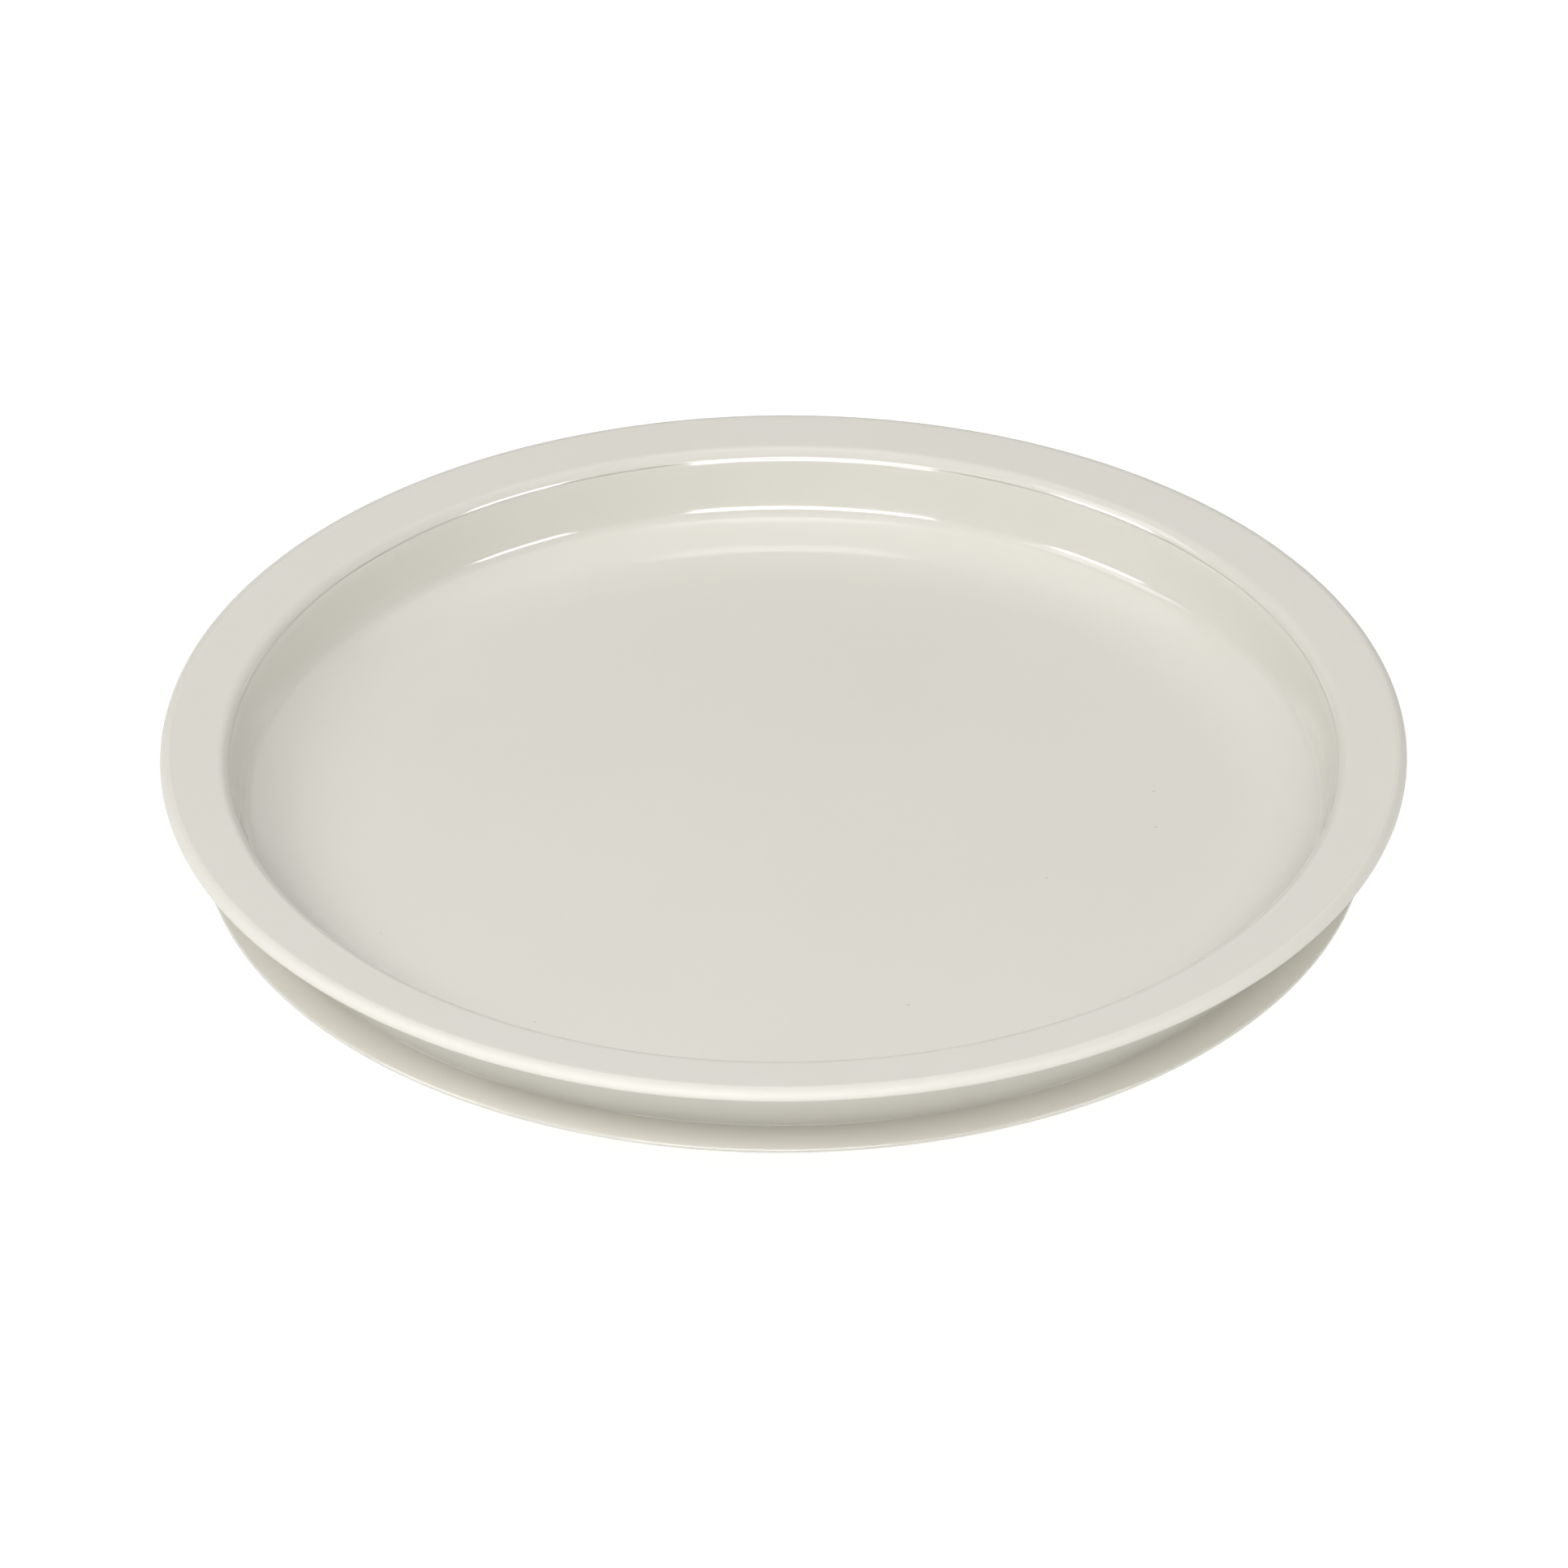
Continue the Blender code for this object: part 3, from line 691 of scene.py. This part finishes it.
def softbox(name, azimuth, elevation, distance, width, height, radiance, fills=True, glints=True):
    """A soft panel that faces the tray. Azimuth 0 is the camera's side, positive to its right.

    A panel may light the tray without showing in its gloss, or show in the gloss alone.
    """
    panel = bpy.data.lights.new(name, "AREA")
    panel.shape = "RECTANGLE"
    panel.size, panel.size_y = width, height
    panel.energy = radiance * math.pi * width * height
    a, e = math.radians(azimuth), math.radians(elevation)
    out = Vector((math.sin(a) * math.cos(e), -math.cos(a) * math.cos(e), math.sin(e)))
    lamp = bpy.data.objects.new(name, panel)
    lamp.visible_diffuse = fills
    lamp.visible_glossy = glints
    scene.collection.objects.link(lamp)
    lamp.location = out * distance
    lamp.rotation_mode = "QUATERNION"
    lamp.rotation_quaternion = (-out).to_track_quat("-Z", "Y")


def make_studio():
    scene.view_settings.view_transform = "Standard"
    world = bpy.data.worlds.new("studio_room")
    world.use_nodes = True
    room = world.node_tree.nodes["Background"]
    room.inputs["Color"].default_value = srgb("#FFFFFF")
    room.inputs["Strength"].default_value = 0.34
    scene.world = world
    softbox("front_softbox", -14, 54, 2.2, 3.4, 0.9, 4.2, glints=False)
    softbox("left_key", -80, 40, 2.4, 1.3, 1.0, 2.8)
    softbox("right_fill", 68, 50, 2.4, 1.0, 0.8, 2.4, glints=False)
    softbox("front_glow", -14, 54, 2.2, 3.4, 1.8, 0.8, fills=False)
    softbox("front_strip", -6, 20, 2.2, 1.95, 0.6, 12.0, fills=False)
    softbox("left_strip", -69, 20, 2.2, 0.8, 0.6, 11.0, fills=False)
    softbox("right_strip", 56, 20, 2.2, 0.8, 0.6, 11.0, fills=False)
    softbox("backdrop", 180, 36, 2.6, 6.0, 1.4, 0.25, fills=False)
    softbox("overhead_panel", 180, 73, 2.0, 1.7, 1.5, 0.6, fills=False)
    softbox("top_strip", 180, 79, 1.8, 0.6, 0.22, 2.2, fills=False)
    softbox("back_strip", 180, 56, 2.2, 0.25, 0.2, 1.6, fills=False)


make_camera()
make_floor()
make_studio()

steel = zinc_plate()
satin = satin_abs()
make_tray(gloss_abs())
make_tracks(turned_steel())
make_balls(ball_steel())
make_cage(natural_nylon())
make_base(satin)
make_feet(soft_rubber())
make_bush(white_acetal())
make_spacers(steel)
make_screw(steel)
make_plug(satin)
